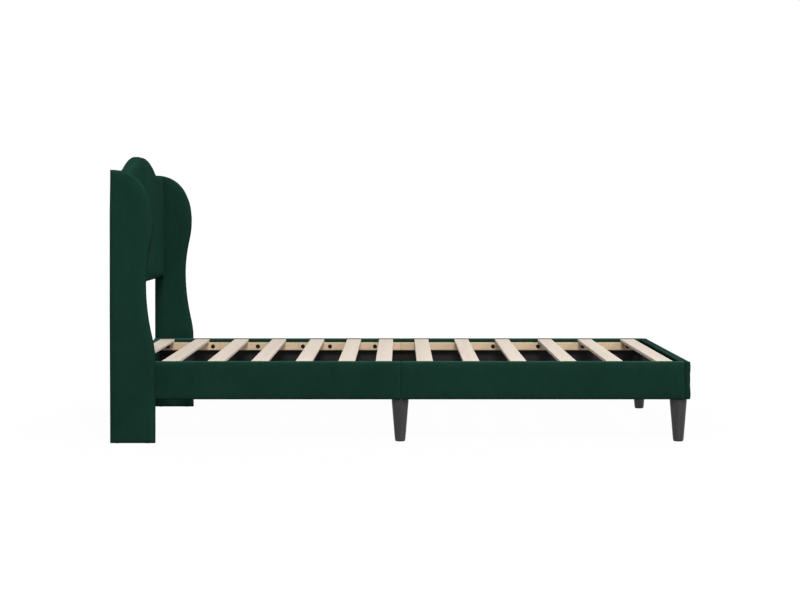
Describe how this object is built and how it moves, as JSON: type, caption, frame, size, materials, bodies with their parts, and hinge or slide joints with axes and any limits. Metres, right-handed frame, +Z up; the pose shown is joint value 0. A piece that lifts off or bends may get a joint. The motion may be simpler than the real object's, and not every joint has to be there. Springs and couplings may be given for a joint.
{
  "type": "upholstered bed frame",
  "caption": "Upholstered single bed with a crowned headboard between curved wings, padded side rails, a slatted wooden base and tapered legs.",
  "frame": {"origin": "on the floor under the middle of the bed", "axes": "+X along the bed to the foot end, +Y to the left side of someone lying on their back, +Z up"},
  "size_m": [2.03, 1.13, 1.016],
  "materials": {
    "velvet": "dark green velvet, short pile with a soft sheen at grazing angles",
    "lining": "thin black lining cloth, matte",
    "foam": "upholstery foam, matte",
    "core_wood": "unfinished plywood and pine",
    "slat_wood": "pale planed wood, matte",
    "leg_wood": "turned wood stained black, satin, faint grain along the leg",
    "glide_plastic": "black moulded plastic, matte",
    "black_steel": "steel, black finish, satin",
    "bare_steel": "zinc-plated steel, satin"
  },
  "bodies": {
    "root": {"headboard_cover": "velvet", "head_rail_cover": "velvet", "foot_rail_cover": "velvet", "left_wing_cover": "velvet", "left_head_side_rail_cover": "velvet", "left_foot_side_rail_cover": "velvet", "right_wing_cover": "velvet", "right_head_side_rail_cover": "velvet", "right_foot_side_rail_cover": "velvet", "headboard_back_cloth": "lining", "foot_rail_lining": "lining", "left_head_side_rail_lining": "lining", "left_foot_side_rail_lining": "lining", "right_head_side_rail_lining": "lining", "right_foot_side_rail_lining": "lining", "headboard_foam": "foam", "left_wing_foam": "foam", "right_wing_foam": "foam", "headboard_board": "core_wood", "left_wing_board": "core_wood", "right_wing_board": "core_wood", "head_rail_core": "core_wood", "foot_rail_core": "core_wood", "left_head_side_rail_core": "core_wood", "left_foot_side_rail_core": "core_wood", "right_head_side_rail_core": "core_wood", "right_foot_side_rail_core": "core_wood", "left_head_ledger": "slat_wood", "left_foot_ledger": "slat_wood", "right_head_ledger": "slat_wood", "right_foot_ledger": "slat_wood", "slat_01": "slat_wood", "slat_02": "slat_wood", "slat_03": "slat_wood", "slat_04": "slat_wood", "slat_05": "slat_wood", "slat_06": "slat_wood", "slat_07": "slat_wood", "slat_08": "slat_wood", "slat_09": "slat_wood", "slat_10": "slat_wood", "slat_11": "slat_wood", "slat_12": "slat_wood", "slat_13": "slat_wood", "left_middle_leg": "leg_wood", "right_middle_leg": "leg_wood", "left_foot_leg": "leg_wood", "right_foot_leg": "leg_wood", "leg_glides": "glide_plastic", "wing_glides": "glide_plastic", "ledger_screws": "black_steel", "bracket_screws": "black_steel", "corner_brackets": "black_steel", "joint_plates": "black_steel", "wing_bolts": "black_steel", "leg_bolts": "bare_steel", "leg_plates": "bare_steel", "plate_screws": "bare_steel", "wing_nuts": "bare_steel"}
  },
  "joints": []
}
